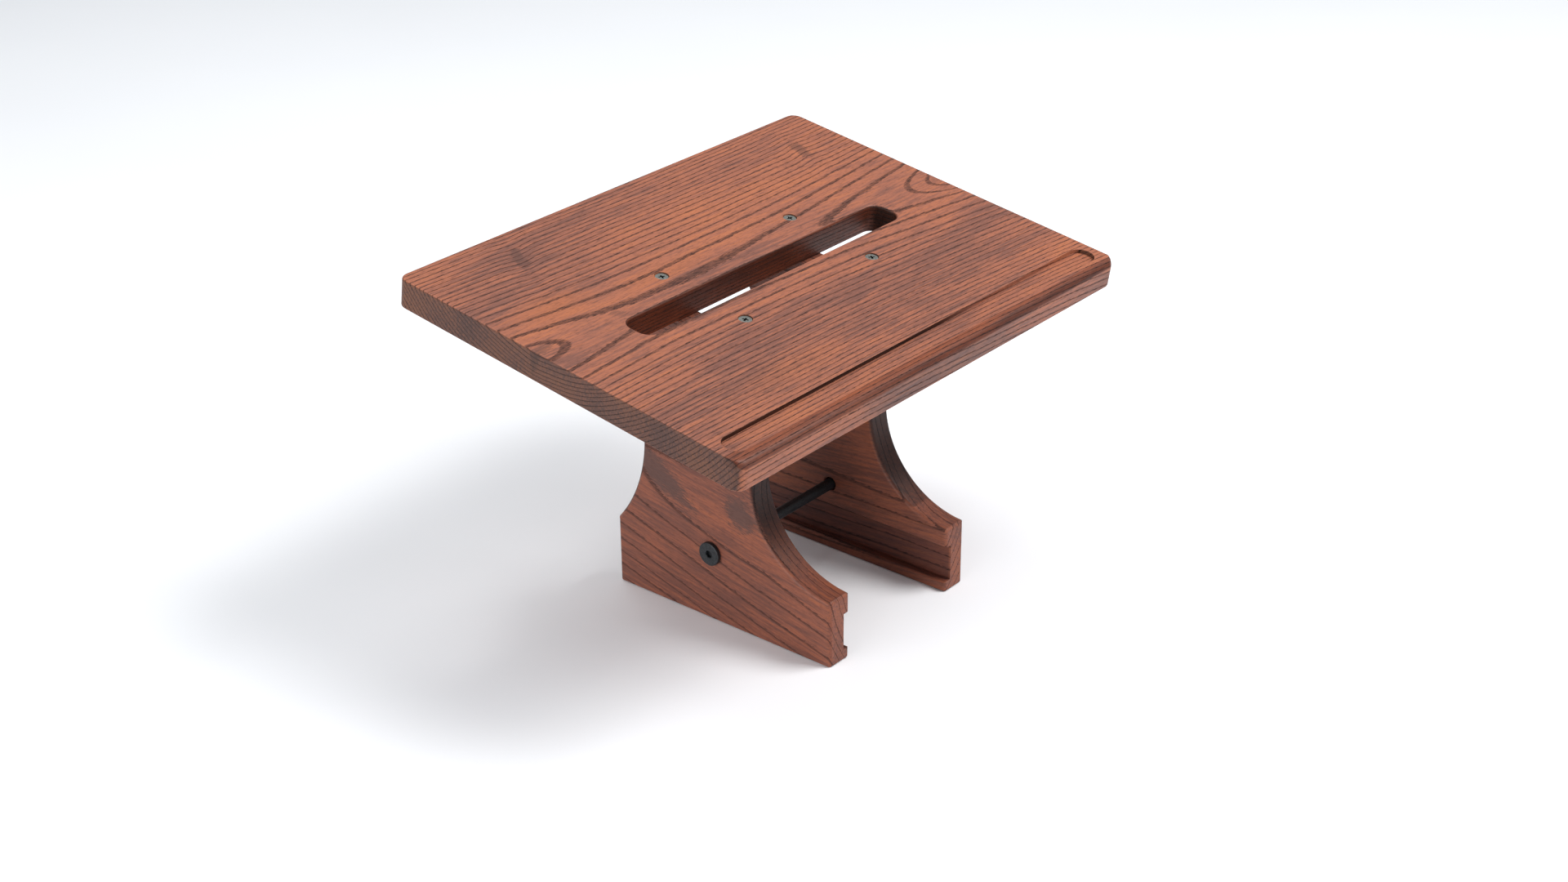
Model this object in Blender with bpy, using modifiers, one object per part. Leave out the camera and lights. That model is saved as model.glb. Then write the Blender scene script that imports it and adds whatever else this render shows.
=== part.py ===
"""Slant-top wooden desk stand: a slotted board on two waisted legs, tied by a steel rod.

Units are metres, +Z is up and the front faces -Y. The origin is on the floor, below the
middle of the board. Run with: blender --background --python part.py
"""
from math import cos, pi, radians, sin, sqrt, tan

import bmesh
import bpy
from mathutils import Matrix

# ---- driving dimensions ------------------------------------------------------------------
GAP = 0.0003                  # air kept between neighbouring pieces
TOUCH = 0.00001               # two places this close are the same place

BOARD_WIDTH = 0.400
BOARD_DEPTH = 0.290           # measured along the slope
BOARD_THICK = 0.0205
BOARD_TILT = radians(8.5)     # the back edge stands higher
BOARD_FRONT_Y = -0.1422       # lower front edge of the board
BOARD_FRONT_Z = 0.1915
BOARD_CORNER_R = 0.008        # in plan
FRONT_ROUND_R = 0.006         # the edge that a wrist rests on
EDGE_R = 0.0014               # every other edge of the board

SLOT_HALF = 0.131             # through slot, along X
SLOT_NEAR = 0.135             # distances up the slope from the front edge
SLOT_FAR = 0.159
SLOT_MIDDLE = (SLOT_NEAR + SLOT_FAR) / 2
SLOT_HALF_WIDE = (SLOT_FAR - SLOT_NEAR) / 2
SLOT_CORNER_R = 0.009
SLOT_LIP_R = 0.0022           # rim of the slot on top
SLOT_FOOT_R = 0.0006          # and below

TRAY_HALF = 0.192             # shallow pen groove
TRAY_NEAR = 0.0095
TRAY_FAR = 0.0275
TRAY_DEEP = 0.003

LEG_THICK = 0.0205
LEG_SPAN = 0.1485             # outer face to outer face
LEG_FRONT_Y = -0.1117
FOOT_LONG = 0.1875
LEG_ROUND_R = 0.003
SOLE_ROUND_R = 0.0014
FRONT_WAIST_Y = 0.067         # waist and head of the leg, measured from its front end
FRONT_WAIST_Z = 0.1194
BACK_WAIST_Y = 0.1617
BACK_WAIST_Z = 0.1212
FRONT_LOW_R = 0.070
FRONT_HIGH_R = 0.075
BACK_LOW_R = 0.110
BACK_HIGH_R = 0.140
HEAD_FRONT = 0.026

RAIL_LOW = 0.008              # channel that slides over a rail
RAIL_HIGH = 0.035
RAIL_DEEP = 0.006
RAIL_LIP_R = 0.0016

ROD_Y = LEG_FRONT_Y + 0.102
ROD_Z = 0.0515
ROD_R = 0.004
ROD_SEAT = 0.012              # how far the rod goes into each leg
ROD_MOUTH_R = 0.005
ROD_MOUTH_DEEP = 0.003
TAP_DEEP = 0.015

BOLT_HEAD_R = 0.0085
BOLT_HEAD_HIGH = 0.0028
BOLT_NECK_R = 0.0041
BOLT_NECK_LONG = 0.003
BOLT_SHANK_R = 0.003
BOLT_LONG = 0.0205            # below the head
HEX_ACROSS = 0.005
HEX_DEEP = 0.0036

SCREW_X = 0.066
SCREW_ROWS = (("front", 0.111), ("back", 0.183))
SCREW_HEAD_R = 0.0045
SCREW_HEAD_RIM = 0.0004
SCREW_MOUTH_R = 0.0050        # countersink at the surface
SCREW_SHANK_R = 0.00215
SCREW_TIP = 0.006
SCREW_LONG = 0.045
SCREW_SINK = 0.0006           # head below the wood
CROSS_LONG = 0.0046
CROSS_WIDE = 0.0011
CROSS_DEEP = 0.0022

SIDES = (("left", -1), ("right", 1))


# ---- scene and materials -----------------------------------------------------------------
def clear_scene():
    for item in list(bpy.data.objects):
        bpy.data.objects.remove(item, do_unlink=True)


def new_collection(name):
    group = bpy.data.collections.new(name)
    bpy.context.scene.collection.children.link(group)
    return group


def material(name, colour, roughness, metallic):
    made = bpy.data.materials.new(name)
    made.use_nodes = True
    shader = made.node_tree.nodes["Principled BSDF"]
    shader.inputs["Base Color"].default_value = (*colour, 1.0)
    shader.inputs["Roughness"].default_value = roughness
    shader.inputs["Metallic"].default_value = metallic
    return made


def add_object(name, data, group):
    made = bpy.data.objects.new(name, data)
    group.objects.link(made)
    return made


def applied(item, group):
    """Replace an object by its evaluated, welded mesh in the same place."""
    bpy.context.view_layer.update()
    source = item.evaluated_get(bpy.context.evaluated_depsgraph_get())
    mesh = bpy.data.meshes.new_from_object(source)
    cage = bmesh.new()
    cage.from_mesh(mesh)
    bmesh.ops.remove_doubles(cage, verts=cage.verts, dist=1e-6)
    bmesh.ops.dissolve_limit(cage, angle_limit=radians(0.05), verts=cage.verts, edges=cage.edges)
    bmesh.ops.recalc_face_normals(cage, faces=cage.faces)
    cage.to_mesh(mesh)
    cage.free()
    name = item.name
    place = item.matrix_world.copy()
    bpy.data.objects.remove(item, do_unlink=True)
    made = add_object(name, mesh, group)
    made.matrix_world = place
    return made


# ---- outlines ----------------------------------------------------------------------------
def arc(centre, radius, start, end, steps):
    """Points of an arc, in degrees, both ends included."""
    points = []
    for i in range(steps + 1):
        angle = radians(start + (end - start) * i / steps)
        points.append((centre[0] + radius * cos(angle), centre[1] + radius * sin(angle)))
    return points


def rounded_rectangle(half_x, near, far, radius, steps, inset=None):
    """Plan outline; inset, if given, tells how far each of its points moves inwards."""
    points = []
    low_y = near + radius
    high_y = far - radius
    for side, y, start in ((1, low_y, -90), (1, high_y, 0), (-1, high_y, 90), (-1, low_y, 180)):
        centre = (side * (half_x - radius), y)
        on_curve = arc(centre, radius, start, start + 90, steps)
        if inset is None:
            points += on_curve
            continue
        for x, y in on_curve:
            keep = 1 - inset(y) / radius
            points.append((centre[0] + (x - centre[0]) * keep, centre[1] + (y - centre[1]) * keep))
    return points


def plate(name, points, low, high, group):
    """A flat outline, filled and given its thickness from low to high."""
    curve = bpy.data.curves.new(name, "CURVE")
    curve.dimensions = "2D"
    curve.fill_mode = "BOTH"
    curve.extrude = (high - low) / 2
    spline = curve.splines.new("POLY")
    spline.points.add(len(points) - 1)
    for point, (x, y) in zip(spline.points, points):
        point.co = (x, y, 0, 1)
    spline.use_cyclic_u = True
    flat = applied(add_object(name, curve, group), group)
    flat.data.transform(Matrix.Translation((0, 0, (high + low) / 2)))
    return flat


def stacked(name, rings, group):
    """A closed solid from rings of equally many points, bottom ring first."""
    cage = bmesh.new()
    loops = []
    for ring in rings:
        corners = [cage.verts.new(point) for point in ring]
        loops.append([cage.edges.new((a, b)) for a, b in zip(corners, corners[1:] + corners[:1])])
    for below, above in zip(loops, loops[1:]):
        bmesh.ops.bridge_loops(cage, edges=below + above)
    for rim in (loops[0], loops[-1]):
        bmesh.ops.edgeloop_fill(cage, edges=rim)
    bmesh.ops.recalc_face_normals(cage, faces=cage.faces)
    mesh = bpy.data.meshes.new(name)
    cage.to_mesh(mesh)
    cage.free()
    return add_object(name, mesh, group)


def turned(name, profile, sides, group):
    """A turned piece about Z; the profile runs down its outer side from axis to axis."""
    cage = bmesh.new()
    corners = [cage.verts.new((radius, 0, height)) for radius, height in profile]
    for above, below in zip(corners, corners[1:]):
        cage.edges.new((above, below))
    mesh = bpy.data.meshes.new(name)
    cage.to_mesh(mesh)
    cage.free()
    made = add_object(name, mesh, group)
    spin = made.modifiers.new("Turn", "SCREW")
    spin.steps = sides
    spin.render_steps = sides
    spin.use_merge_vertices = True
    spin.merge_threshold = 1e-6
    return made


def block(name, lows, highs, group):
    """A box between two corners."""
    size = [high - low for low, high in zip(lows, highs)]
    centre = [(high + low) / 2 for low, high in zip(lows, highs)]
    cage = bmesh.new()
    bmesh.ops.create_cube(cage, size=1.0)
    bmesh.ops.scale(cage, vec=size, verts=cage.verts)
    bmesh.ops.translate(cage, vec=centre, verts=cage.verts)
    mesh = bpy.data.meshes.new(name)
    cage.to_mesh(mesh)
    cage.free()
    return add_object(name, mesh, group)


# ---- cutting and easing edges ------------------------------------------------------------
def hide(cutter):
    cutter.hide_render = True
    cutter.display_type = "WIRE"


def cut(piece, cutter):
    hide(cutter)
    made = piece.modifiers.new("Cut " + cutter.name, "BOOLEAN")
    made.operation = "DIFFERENCE"
    made.solver = "EXACT"
    made.object = cutter


def ease_edges(piece, radius_of, segments):
    """Round each sharp outer edge by the radius that radius_of gives for its two ends."""
    widest = 0.0
    cage = bmesh.new()
    cage.from_mesh(piece.data)
    weights = cage.edges.layers.float.new("bevel_weight_edge")
    radii = {}
    for edge in cage.edges:
        sharp = edge.is_manifold and edge.is_convex and edge.calc_face_angle() > radians(25)
        radii[edge] = radius_of(edge.verts[0].co, edge.verts[1].co) if sharp else 0.0
        widest = max(widest, radii[edge])
    for edge, radius in radii.items():
        edge[weights] = radius / widest
    cage.to_mesh(piece.data)
    cage.free()
    rounding = piece.modifiers.new("Eased edges", "BEVEL")
    rounding.limit_method = "WEIGHT"
    rounding.width = widest
    rounding.segments = segments
    rounding.miter_outer = "MITER_ARC"
    rounding.use_clamp_overlap = False


def finish(piece, look):
    piece.data.materials.clear()
    piece.data.materials.append(look)
    piece.data.shade_smooth()
    piece.data.set_sharp_from_angle(angle=radians(35))


# ---- places on the board -----------------------------------------------------------------
def board_matrix():
    """Board frame: X across, Y up the slope from the front edge, Z out of the top."""
    return Matrix.Translation((0, BOARD_FRONT_Y, BOARD_FRONT_Z)) @ Matrix.Rotation(BOARD_TILT, 4, "X")


def underside_z(y):
    return BOARD_FRONT_Z + (y - BOARD_FRONT_Y) * tan(BOARD_TILT)


# ---- the pieces --------------------------------------------------------------------------
def top_radius(y):
    """The board's top edge: well rounded along the front, only eased past the corners."""
    fade = min(1.0, y / BOARD_CORNER_R)
    fade = fade * fade * (3 - 2 * fade)
    return FRONT_ROUND_R + (EDGE_R - FRONT_ROUND_R) * fade


def slot_radius(a, b):
    """Only the slot's rims still need easing, more on top than below."""
    middle = (a + b) / 2
    in_slot = abs(middle.x) < SLOT_HALF + TOUCH and abs(middle.y - SLOT_MIDDLE) < SLOT_HALF_WIDE + TOUCH
    if not in_slot or abs(a.z - b.z) > TOUCH:
        return 0.0
    return SLOT_LIP_R if middle.z > BOARD_THICK / 2 else SLOT_FOOT_R


def board_rings():
    """Outlines of the board from its underside to its top, drawn in where edges are round."""
    rings = []
    for on_top, steps in ((False, 3), (True, 5)):
        for i in range(steps + 1):
            turn = pi / 2 * i / steps
            drawn_in = 1 - (cos(turn) if on_top else sin(turn))
            left_over = 1 - (sin(turn) if on_top else cos(turn))
            radius_at = top_radius if on_top else (lambda y: EDGE_R)
            plan = rounded_rectangle(BOARD_WIDTH / 2, 0, BOARD_DEPTH, BOARD_CORNER_R, 8)
            drawn = rounded_rectangle(BOARD_WIDTH / 2, 0, BOARD_DEPTH, BOARD_CORNER_R, 8,
                                      lambda y: radius_at(y) * drawn_in)
            ring = []
            for (x, y), (_, whole_y) in zip(drawn, plan):
                fall = radius_at(whole_y) * left_over
                ring.append((x, y, BOARD_THICK - fall if on_top else fall))
            rings.append(ring)
    return rings


def make_board(parts, cutters, wood):
    board = stacked("top_board", board_rings(), parts)
    slot = rounded_rectangle(SLOT_HALF, SLOT_NEAR, SLOT_FAR, SLOT_CORNER_R, 8)
    slot = plate("slot_cutter", slot, -0.01, BOARD_THICK + 0.01, cutters)
    tray_r = (TRAY_FAR - TRAY_NEAR) / 2 - TOUCH
    tray = rounded_rectangle(TRAY_HALF, TRAY_NEAR, TRAY_FAR, tray_r, 10)
    tray = plate("tray_cutter", tray, BOARD_THICK - TRAY_DEEP, BOARD_THICK + 0.01, cutters)
    for cutter in (slot, tray):
        cut(board, cutter)
    board = applied(board, parts)
    for cutter in (slot, tray):
        bpy.data.objects.remove(cutter, do_unlink=True)
    ease_edges(board, slot_radius, 4)
    board.matrix_world = board_matrix()
    finish(board, wood)
    return board


def leg_outline():
    """Side view of a leg: (distance behind its front end, height)."""
    def arc_to(y, waist_y, waist_z, radius, way, up):
        """Arc between a waist and the height where it reaches y; way is +1 at the front."""
        centre = (waist_y - way * radius, waist_z)
        rise = sqrt(radius ** 2 - (y - centre[0]) ** 2)
        steps = 12
        points = []
        for i in range(steps + 1):
            height = up * rise * sin(pi / 2 * i / steps)
            points.append((centre[0] + way * sqrt(radius ** 2 - height ** 2), waist_z + height))
        return points

    head_gap = GAP / cos(BOARD_TILT)
    front_low = arc_to(0, FRONT_WAIST_Y, FRONT_WAIST_Z, FRONT_LOW_R, 1, -1)
    front_high = arc_to(HEAD_FRONT, FRONT_WAIST_Y, FRONT_WAIST_Z, FRONT_HIGH_R, 1, 1)
    back_low = arc_to(FOOT_LONG, BACK_WAIST_Y, BACK_WAIST_Z, BACK_LOW_R, -1, -1)
    back_high = arc_to(FOOT_LONG, BACK_WAIST_Y, BACK_WAIST_Z, BACK_HIGH_R, -1, 1)
    points = [(0, 0), (FOOT_LONG, 0)]
    points += back_low[::-1] + back_high[1:]
    points.append((FOOT_LONG, underside_z(LEG_FRONT_Y + FOOT_LONG) - head_gap))
    points.append((HEAD_FRONT, underside_z(LEG_FRONT_Y + HEAD_FRONT) - head_gap))
    points += front_high[::-1] + front_low[1:]
    return points


def leg_radius(side):
    """How far each edge of a leg is eased; the leg's own Z runs across its thickness."""
    inner = -side * LEG_THICK / 2

    def radius_of(a, b):
        middle = (a + b) / 2
        on_face = abs(middle.z) > LEG_THICK / 2 - TOUCH
        on_inner = abs(middle.z - inner) < TOUCH
        on_channel = RAIL_LOW - TOUCH < middle.y < RAIL_HIGH + TOUCH
        if min(a.y, b.y) > underside_z(LEG_FRONT_Y + HEAD_FRONT) - 2 * GAP:
            return 0.0                              # the head meets the board
        if on_channel and on_inner and abs(a.y - b.y) < TOUCH:
            return RAIL_LIP_R
        if on_channel and not on_face:
            return 0.0
        if middle.y < TOUCH:
            return SOLE_ROUND_R
        return LEG_ROUND_R
    return radius_of


def leg_matrix(side):
    """Leg frame: X back from the front end, Y up, Z across the thickness."""
    middle = side * (LEG_SPAN - LEG_THICK) / 2
    turn = Matrix(((0, 0, 1), (1, 0, 0), (0, 1, 0))).to_4x4()
    return Matrix.Translation((middle, LEG_FRONT_Y, 0)) @ turn


def make_leg(name, side, parts, cutters, wood):
    leg = plate(name, leg_outline(), -LEG_THICK / 2, LEG_THICK / 2, parts)
    floor = -side * (LEG_THICK / 2 - RAIL_DEEP)
    mouth = -side * (LEG_THICK / 2 + 0.01)
    rail = block(name + "_rail_cutter", (-0.01, RAIL_LOW, min(floor, mouth)),
                 (FOOT_LONG + 0.01, RAIL_HIGH, max(floor, mouth)), cutters)
    cut(leg, rail)
    leg = applied(leg, parts)
    bpy.data.objects.remove(rail, do_unlink=True)
    ease_edges(leg, leg_radius(side), 3)
    leg.matrix_world = leg_matrix(side)
    finish(leg, wood)
    return leg


def across_matrix(side, x):
    """A turned piece laid along X at the rod, its +Z pointing outwards on that side."""
    return Matrix.Translation((x, ROD_Y, ROD_Z)) @ Matrix.Rotation(side * pi / 2, 4, "Y")


def make_rod(parts, cutters, steel):
    half = (LEG_SPAN / 2 - LEG_THICK) + ROD_SEAT
    ease = 0.0005
    rod = turned("tie_rod", [(0, half), (ROD_R - ease, half), (ROD_R, half - ease),
                             (ROD_R, ease - half), (ROD_R - ease, -half), (0, -half)], 32, parts)
    rod.matrix_world = across_matrix(1, 0)
    for side_name, side in SIDES:
        tap_r = BOLT_SHANK_R + GAP
        tap = turned("rod_tap_cutter_" + side_name,
                     [(0, 0.01), (tap_r, 0.01), (tap_r, -TAP_DEEP), (0, -TAP_DEEP - tap_r / 2)], 24, cutters)
        tap.matrix_world = across_matrix(side, side * half)
        cut(rod, tap)
    finish(rod, steel)
    return rod


def make_bolt(name, side, parts, cutters, steel):
    """Flat-headed connector bolt; its origin is under the head, on the leg's outer face."""
    soft = 0.0006
    bolt = turned(name, [(0, BOLT_HEAD_HIGH), (BOLT_HEAD_R - soft, BOLT_HEAD_HIGH),
                         (BOLT_HEAD_R - soft / 4, BOLT_HEAD_HIGH - soft / 4),
                         (BOLT_HEAD_R, BOLT_HEAD_HIGH - soft), (BOLT_HEAD_R, 0), (BOLT_NECK_R, 0),
                         (BOLT_NECK_R, -BOLT_NECK_LONG), (BOLT_SHANK_R, -BOLT_NECK_LONG - 0.001),
                         (BOLT_SHANK_R, -BOLT_LONG + 0.001), (BOLT_SHANK_R - 0.001, -BOLT_LONG),
                         (0, -BOLT_LONG)], 48, parts)
    bolt.matrix_world = across_matrix(side, side * (LEG_SPAN / 2 + GAP))
    cage = bmesh.new()
    bmesh.ops.create_cone(cage, cap_ends=True, segments=6, radius1=HEX_ACROSS / sqrt(3),
                          radius2=HEX_ACROSS / sqrt(3), depth=2 * HEX_DEEP)
    mesh = bpy.data.meshes.new(name + "_hex_cutter")
    cage.to_mesh(mesh)
    cage.free()
    key = add_object(name + "_hex_cutter", mesh, cutters)
    key.matrix_world = across_matrix(side, side * (LEG_SPAN / 2 + GAP + BOLT_HEAD_HIGH))
    cut(bolt, key)
    finish(bolt, steel)
    return bolt


def cut_bolt_hole(leg, side, cutters):
    """Stepped hole: bolt neck and shank from outside, the rod's seat from inside."""
    outer = LEG_SPAN / 2
    inner = outer - LEG_THICK
    seat_end = inner + ROD_SEAT + GAP
    neck_end = outer - BOLT_NECK_LONG - 0.0012
    hole = turned(leg.name + "_bolt_cutter",
                  [(0, outer + 0.01), (BOLT_NECK_R + GAP, outer + 0.01), (BOLT_NECK_R + GAP, neck_end),
                   (BOLT_SHANK_R + GAP, neck_end - 0.0002), (BOLT_SHANK_R + GAP, seat_end),
                   (ROD_R + GAP, seat_end - 0.00001), (ROD_R + GAP, inner + ROD_MOUTH_DEEP),
                   (ROD_MOUTH_R, inner + ROD_MOUTH_DEEP - 0.00001), (ROD_MOUTH_R, inner - 0.01),
                   (0, inner - 0.01)], 32, cutters)
    hole.matrix_world = across_matrix(side, 0)
    cut(leg, hole)


def screw_matrix(side, row):
    """A screw's frame: origin in the middle of its head's face, +Z out of the wood."""
    return board_matrix() @ Matrix.Translation((side * SCREW_X, row, BOARD_THICK - SCREW_SINK))


def make_screw(name, side, row, parts, cutters, steel):
    """Countersunk cross-head wood screw, its head a little below the surface."""
    cone_end = -SCREW_HEAD_RIM - (SCREW_HEAD_R - SCREW_SHANK_R)
    screw = turned(name, [(0, 0), (SCREW_HEAD_R, 0), (SCREW_HEAD_R, -SCREW_HEAD_RIM),
                          (SCREW_SHANK_R, cone_end), (SCREW_SHANK_R, SCREW_TIP - SCREW_LONG),
                          (0, -SCREW_LONG)], 32, parts)
    place = screw_matrix(side, row)
    screw.matrix_world = place
    for turn in (0, 1):
        cross = block(name + "_cross_cutter_%d" % turn, (-CROSS_LONG / 2, -CROSS_WIDE / 2, -CROSS_DEEP),
                      (CROSS_LONG / 2, CROSS_WIDE / 2, GAP), cutters)
        for corner in cross.data.vertices:
            if corner.co.z < 0:
                corner.co.x *= 0.3
                corner.co.y *= 0.5
        cross.matrix_world = place @ Matrix.Rotation(pi / 4 + turn * pi / 2, 4, "Z")
        cut(screw, cross)
    finish(screw, steel)
    return screw


def cut_screw_hole(pieces, name, side, row, cutters):
    """Countersink, clearance hole and pilot hole in one line, a gap wider than the screw."""
    above = SCREW_SINK + 0.01
    shank = SCREW_SHANK_R + GAP
    cone_top = -SCREW_HEAD_RIM
    cone_end = cone_top - (SCREW_MOUTH_R - shank)
    hole = turned(name + "_cutter", [(0, above), (SCREW_MOUTH_R, above), (SCREW_MOUTH_R, cone_top),
                                     (shank, cone_end), (shank, SCREW_TIP - SCREW_LONG),
                                     (0, -SCREW_LONG - 0.001)], 32, cutters)
    hole.matrix_world = screw_matrix(side, row)
    for piece in pieces:
        cut(piece, hole)


def build():
    clear_scene()
    parts = new_collection("desk_stand")
    cutters = new_collection("cutters")
    wood = material("brown_ash", (0.33, 0.17, 0.12), 0.55, 0.0)
    black = material("black_steel", (0.02, 0.022, 0.024), 0.4, 0.9)
    zinc = material("zinc_steel", (0.42, 0.43, 0.40), 0.35, 1.0)

    board = make_board(parts, cutters, wood)
    make_rod(parts, cutters, black)
    for side_name, side in SIDES:
        leg = make_leg(side_name + "_leg", side, parts, cutters, wood)
        cut_bolt_hole(leg, side, cutters)
        make_bolt("tie_bolt_" + side_name, side, parts, cutters, black)
        for row_name, row in SCREW_ROWS:
            name = "board_screw_%s_%s" % (row_name, side_name)
            make_screw(name, side, row, parts, cutters, zinc)
            cut_screw_hole((board, leg), name, side, row, cutters)


build()
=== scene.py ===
# %% [markdown]
# # A slant-top desk stand in brown-stained ash
#
# The stand is a thick sloping board with a long slot and a pen groove. It is screwed to two
# waisted legs, and a black steel rod ties the legs together. This lesson builds the finished
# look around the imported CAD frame: the frame gives every place and size, and each piece here
# stands for the CAD node of the same name.

# %% Load the frame
from math import cos, pi, radians, sin, sqrt, tan

import bmesh
import bpy
from mathutils import Matrix, Vector


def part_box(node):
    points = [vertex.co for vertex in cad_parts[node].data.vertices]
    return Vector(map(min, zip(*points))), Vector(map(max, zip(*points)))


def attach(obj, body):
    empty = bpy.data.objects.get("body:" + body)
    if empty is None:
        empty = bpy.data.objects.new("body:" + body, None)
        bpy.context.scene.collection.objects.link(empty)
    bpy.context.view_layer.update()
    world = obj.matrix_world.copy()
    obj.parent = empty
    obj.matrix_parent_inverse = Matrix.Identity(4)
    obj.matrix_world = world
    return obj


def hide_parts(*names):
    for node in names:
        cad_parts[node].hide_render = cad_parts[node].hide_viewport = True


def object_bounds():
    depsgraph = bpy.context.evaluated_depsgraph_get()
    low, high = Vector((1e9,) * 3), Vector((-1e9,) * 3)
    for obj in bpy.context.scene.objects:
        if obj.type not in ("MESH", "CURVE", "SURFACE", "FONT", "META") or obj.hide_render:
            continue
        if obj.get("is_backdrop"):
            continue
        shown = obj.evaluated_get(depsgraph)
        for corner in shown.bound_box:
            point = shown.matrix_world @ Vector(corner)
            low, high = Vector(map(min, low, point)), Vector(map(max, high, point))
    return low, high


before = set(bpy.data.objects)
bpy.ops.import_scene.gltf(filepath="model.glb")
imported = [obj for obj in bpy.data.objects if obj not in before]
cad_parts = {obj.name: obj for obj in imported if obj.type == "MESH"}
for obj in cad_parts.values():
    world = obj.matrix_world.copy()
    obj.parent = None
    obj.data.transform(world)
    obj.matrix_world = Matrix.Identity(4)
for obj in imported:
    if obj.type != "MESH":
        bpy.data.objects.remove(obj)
cad_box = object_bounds()
print("nodes:", ", ".join(sorted(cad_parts)))

# %% [markdown]
# ## Sizes
#
# The frame knows where each node lies, so the widths and heights are read from it. What a box
# can't tell, such as the radius of an edge, is a named value here. All of it is in metres.

# %% Read the sizes
board_low, board_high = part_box("top_board")
leg_low, leg_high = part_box("left_leg")
rod_low, rod_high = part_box("tie_rod")
bolt_low, bolt_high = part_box("tie_bolt_left")

TILT = radians(8.5)
BOARD_THICK = 0.0205
BOARD_WIDTH = board_high[0] - board_low[0]
BOARD_DEPTH = 0.290
FRONT_Y = -0.1422             # the board's lower front edge
FRONT_Z = 0.1915
FRONT_EDGE = Vector((0, FRONT_Y, FRONT_Z))
BOARD_PLACE = Matrix.Translation(FRONT_EDGE) @ Matrix.Rotation(TILT, 4, "X")
LEG_THICK = leg_high[0] - leg_low[0]
LEG_OUTER = -leg_low[0]
LEG_FRONT = leg_low[1]
FOOT_LONG = leg_high[1] - leg_low[1]
ROD_Y = (rod_low[1] + rod_high[1]) / 2
ROD_Z = (rod_low[2] + rod_high[2]) / 2
ROD_R = (rod_high[2] - rod_low[2]) / 2
GAP = 0.0003                  # air between neighbouring pieces
TOUCH = 0.00001               # closer than this counts as touching
CLEAR = 0.01                  # how far a cutter stands out of what it cuts
SIDES = (("left", -1), ("right", 1))
print("board %.1f mm wide, legs %.1f mm thick" % (BOARD_WIDTH * 1000, LEG_THICK * 1000))

# %% [markdown]
# ## Helpers for solid pieces
#
# A piece is modelled near the origin, where its sizes are easy to read, and goes through the
# same last step: its modifiers are applied, its place is moved into the mesh, and its shading
# is smoothed with the larger faces deciding the normals, so flat faces stay flat up to
# their rounded edges.


# %% Helpers for meshes
WELD = 1e-6                   # points closer than this become one
FLAT = radians(0.05)          # faces that meet flatter than this become one
SHARP = radians(25)           # edges sharper than this may be rounded
CREASE = radians(35)          # and sharper than this are shaded as a crease


def from_cage(name, cage):
    """A new object from a bmesh."""
    bmesh.ops.recalc_face_normals(cage, faces=cage.faces)
    mesh = bpy.data.meshes.new(name)
    cage.to_mesh(mesh)
    cage.free()
    made = bpy.data.objects.new(name, mesh)
    bpy.context.scene.collection.objects.link(made)
    return made


def baked(item, place=Matrix()):
    """The object with its modifiers applied and its place moved into the mesh."""
    bpy.context.view_layer.update()
    source = item.evaluated_get(bpy.context.evaluated_depsgraph_get())
    mesh = bpy.data.meshes.new_from_object(source)
    mesh.transform(place @ item.matrix_world)
    name = item.name
    bpy.data.objects.remove(item, do_unlink=True)
    mesh.name = name
    made = bpy.data.objects.new(name, mesh)
    bpy.context.scene.collection.objects.link(made)
    return made


def cut(piece, *cutters):
    """Cut the pieces away, then drop the cutters."""
    for cutter in cutters:
        made = piece.modifiers.new("Cut", "BOOLEAN")
        made.operation = "DIFFERENCE"
        made.solver = "EXACT"
        made.object = cutter
    piece = baked(piece)
    for cutter in cutters:
        bpy.data.objects.remove(cutter, do_unlink=True)
    cage = bmesh.new()
    cage.from_mesh(piece.data)
    bmesh.ops.remove_doubles(cage, verts=cage.verts, dist=WELD)
    bmesh.ops.dissolve_limit(cage, angle_limit=FLAT, verts=cage.verts, edges=cage.edges)
    cage.to_mesh(piece.data)
    cage.free()
    return piece


def ease_edges(piece, radius_of, segments):
    """Round each sharp outer edge by the radius that radius_of gives for its two ends."""
    cage = bmesh.new()
    cage.from_mesh(piece.data)
    weights = cage.edges.layers.float.new("bevel_weight_edge")
    radii = {}
    for edge in cage.edges:
        sharp = edge.is_manifold and edge.is_convex and edge.calc_face_angle() > SHARP
        radii[edge] = radius_of(edge.verts[0].co, edge.verts[1].co) if sharp else 0.0
    widest = max(radii.values())
    for edge, radius in radii.items():
        edge[weights] = radius / widest
    cage.to_mesh(piece.data)
    cage.free()
    rounding = piece.modifiers.new("Eased edges", "BEVEL")
    rounding.limit_method = "WEIGHT"
    rounding.width = widest
    rounding.segments = segments
    rounding.miter_outer = "MITER_ARC"
    rounding.use_clamp_overlap = False


def smooth(piece):
    """Smooth shading in which the larger faces decide the normals."""
    piece.data.shade_smooth()
    piece.data.set_sharp_from_angle(angle=CREASE)
    weighted = piece.modifiers.new("Weighted", "WEIGHTED_NORMAL")
    weighted.keep_sharp = True
    weighted.weight = 100


print("mesh helpers ready")


# %% Helpers for outlines
def arc(centre, radius, start, end, steps):
    """Points of an arc, in degrees, both ends included."""
    points = []
    for i in range(steps + 1):
        angle = radians(start + (end - start) * i / steps)
        points.append((centre[0] + radius * cos(angle), centre[1] + radius * sin(angle)))
    return points


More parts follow.
